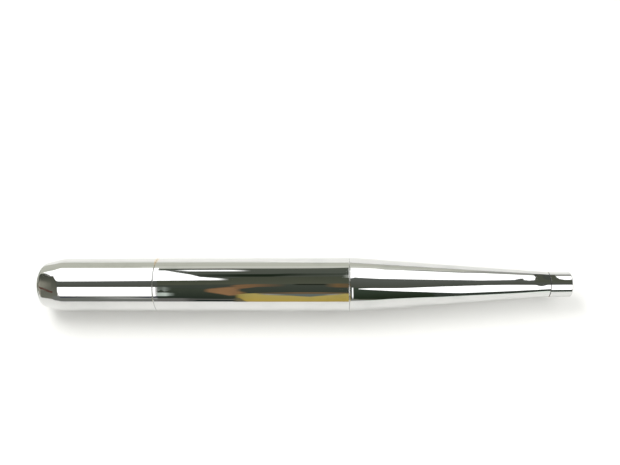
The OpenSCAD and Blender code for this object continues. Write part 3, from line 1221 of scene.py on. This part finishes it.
def lay_floor(settings):
    """Pale matt paper, with a faint tooth."""
    material = bpy.data.materials.new("pale_paper")
    material.use_nodes = True
    tree = material.node_tree
    tree.nodes.clear()
    place = add(tree, "ShaderNodeTexCoord").outputs["Object"]
    fine = add(tree, "ShaderNodeMapping", {"Vector": place, "Scale": cells(0.6 * MM, 0.6 * MM)})
    tooth = add(tree, "ShaderNodeTexNoise", {"Vector": fine, "Scale": 1.0, "Detail": 3.0})
    broad = add(tree, "ShaderNodeMapping", {"Vector": place, "Scale": cells(90 * MM, 90 * MM)})
    patches = add(tree, "ShaderNodeTexNoise", {"Vector": broad, "Scale": 1.0, "Detail": 2.0})
    paler = tuple(min(1.0, c * 1.03) for c in settings.paper)
    shades = {MIX_BY: patches, MIX_A: settings.paper, MIX_B: paler}
    colour = add(tree, "ShaderNodeMix", shades, data_type="RGBA")
    bump = add(tree, "ShaderNodeBump", {"Height": tooth, "Distance": 0.01 * MM})
    matt = {"Base Color": colour, "Roughness": 0.9, "Normal": bump, "Specular IOR Level": 0.1}
    shader = add(tree, "ShaderNodeBsdfPrincipled", matt)
    add(tree, "ShaderNodeOutputMaterial", {"Surface": shader})
    mesh = bpy.data.meshes.new("floor")
    reach = 2.0
    corners = [(-reach, -reach, 0), (reach, -reach, 0), (reach, reach, 0), (-reach, reach, 0)]
    mesh.from_pydata(corners, [], [(0, 1, 2, 3)])
    mesh.materials.append(material)
    floor = shown(mesh, "floor")
    floor.location.z = TUBE_LOW[2] - 0.01 * MM


# The soft lamps behind the tent's cloth: place in metres, width in metres, power in watts
LAMPS = {
    "lamp_behind": ((-0.17, 0.20, 0.42), 0.3, 1.65),
    "lamp_above": ((0.35, -0.05, 0.45), 0.35, 0.9),
    "lamp_front": ((0.10, -0.45, 0.28), 0.5, 0.55),
}


def hang_lamps(settings):
    """The three soft lamps. Reflections don't show them, because the cards stand for the lit cloth."""
    for name, (place, width, watts) in LAMPS.items():
        lamp = bpy.data.lights.new(name, "AREA")
        lamp.shape = "SQUARE"
        lamp.size = width
        lamp.energy = watts * settings.lamp_power
        hung = bpy.data.objects.new(name, lamp)
        bpy.context.scene.collection.objects.link(hung)
        hung.location = place
        hung.rotation_euler = Vector(place).to_track_quat("Z", "Y").to_euler()
        hung.visible_glossy = False


def light_sky(settings):
    """An even sky: white to the camera, dimmer as a light."""
    world = bpy.data.worlds.new("tent")
    bpy.context.scene.world = world
    world.use_nodes = True
    tree = world.node_tree
    tree.nodes.clear()
    seen = add(tree, "ShaderNodeLightPath").outputs["Is Camera Ray"]
    more = {0: seen, 1: settings.seen_sky - settings.sky, 2: settings.sky}
    strength = add(tree, "ShaderNodeMath", more, operation="MULTIPLY_ADD")
    sky = add(tree, "ShaderNodeBackground", {"Color": linear("#FFFFFE"), "Strength": strength})
    add(tree, "ShaderNodeOutputWorld", {"Surface": sky})


def set_camera(settings):
    """The camera, above and in front of the wand and turned a little along it."""
    down = settings.elevation
    level = Vector((0, math.cos(down), -math.sin(down)))
    up = Vector((0, math.sin(down), math.cos(down)))
    along = Vector((1, 0, 0))
    forward = math.cos(settings.turn) * level - math.sin(settings.turn) * along
    right = math.cos(settings.turn) * along + math.sin(settings.turn) * level
    aim = Vector((settings.aim_x, 0, AXIS_Z))
    lens = bpy.data.cameras.new("camera")
    lens.lens = settings.lens
    lens.sensor_width = 36
    lens.clip_start = 0.01
    lens.clip_end = 20
    camera = bpy.data.objects.new("camera", lens)
    bpy.context.scene.collection.objects.link(camera)
    place = aim - settings.distance * forward + settings.rise * up
    lean = Matrix.Rotation(settings.roll, 3, forward)
    turned = Matrix((lean @ right, lean @ up, -forward)).transposed().to_4x4()
    camera.matrix_world = Matrix.Translation(place) @ turned
    bpy.context.scene.camera = camera


class WAND_OT_stage(bpy.types.Operator):
    """Lays the pale floor, hangs the tent's cards, and sets the lights, the sky and the camera"""

    bl_idname = "wand.stage"
    bl_label = "Light Tent"

    def execute(self, context):
        settings = context.scene.tent_settings
        lay_floor(settings)
        for name, (low, high, layer, soft, outline) in CARDS.items():
            radius = settings.tent_r + (DRUM_LAYER - layer) * LAYER_GAP
            card(name, low, high, soft, outline, radius, settings)
        low, high, layer, soft, outline = NEAR_CARD
        card("near_tip", low, high, soft, outline, NEAR_CARD_R, settings)
        lay_flat_cards(settings)
        hang_lamps(settings)
        light_sky(settings)
        set_camera(settings)
        context.scene.view_settings.view_transform = "Standard"
        return {"FINISHED"}


class WAND_PT_panel(bpy.types.Panel):
    """Buttons and settings for the wand and its light tent"""

    bl_idname = "WAND_PT_panel"
    bl_label = "Production Wand"
    bl_space_type = "VIEW_3D"
    bl_region_type = "UI"
    bl_category = "Wand"

    def draw(self, context):
        for operator in OPERATORS:
            self.layout.operator(operator.bl_idname)
        for group in (context.scene.wand_sizes, context.scene.wand_finish, context.scene.tent_settings):
            box = self.layout.box()
            for name in group.__annotations__:
                box.prop(group, name)


OPERATORS = (
    WAND_OT_cap,
    WAND_OT_body_tube,
    WAND_OT_taper,
    WAND_OT_tip,
    WAND_OT_neck,
    WAND_OT_ring,
    WAND_OT_chamber_floor,
    WAND_OT_joint_bush,
    WAND_OT_stage,
)

GROUPS = {"wand_sizes": WandSizes, "wand_finish": WandFinish, "tent_settings": TentSettings}


def register():
    """Registers the settings, the operators and the panel."""
    for name, group in GROUPS.items():
        bpy.utils.register_class(group)
        setattr(bpy.types.Scene, name, PointerProperty(type=group))
    for item in (*OPERATORS, WAND_PT_panel):
        bpy.utils.register_class(item)


def unregister():
    """Takes them all away again."""
    for item in (WAND_PT_panel, *reversed(OPERATORS)):
        bpy.utils.unregister_class(item)
    for name, group in GROUPS.items():
        delattr(bpy.types.Scene, name)
        bpy.utils.unregister_class(group)


def main():
    """Builds the wand and its stage."""
    register()
    for operator in OPERATORS:
        group, name = operator.bl_idname.split(".")
        getattr(getattr(bpy.ops, group), name)()


if __name__ == "__main__":
    main()
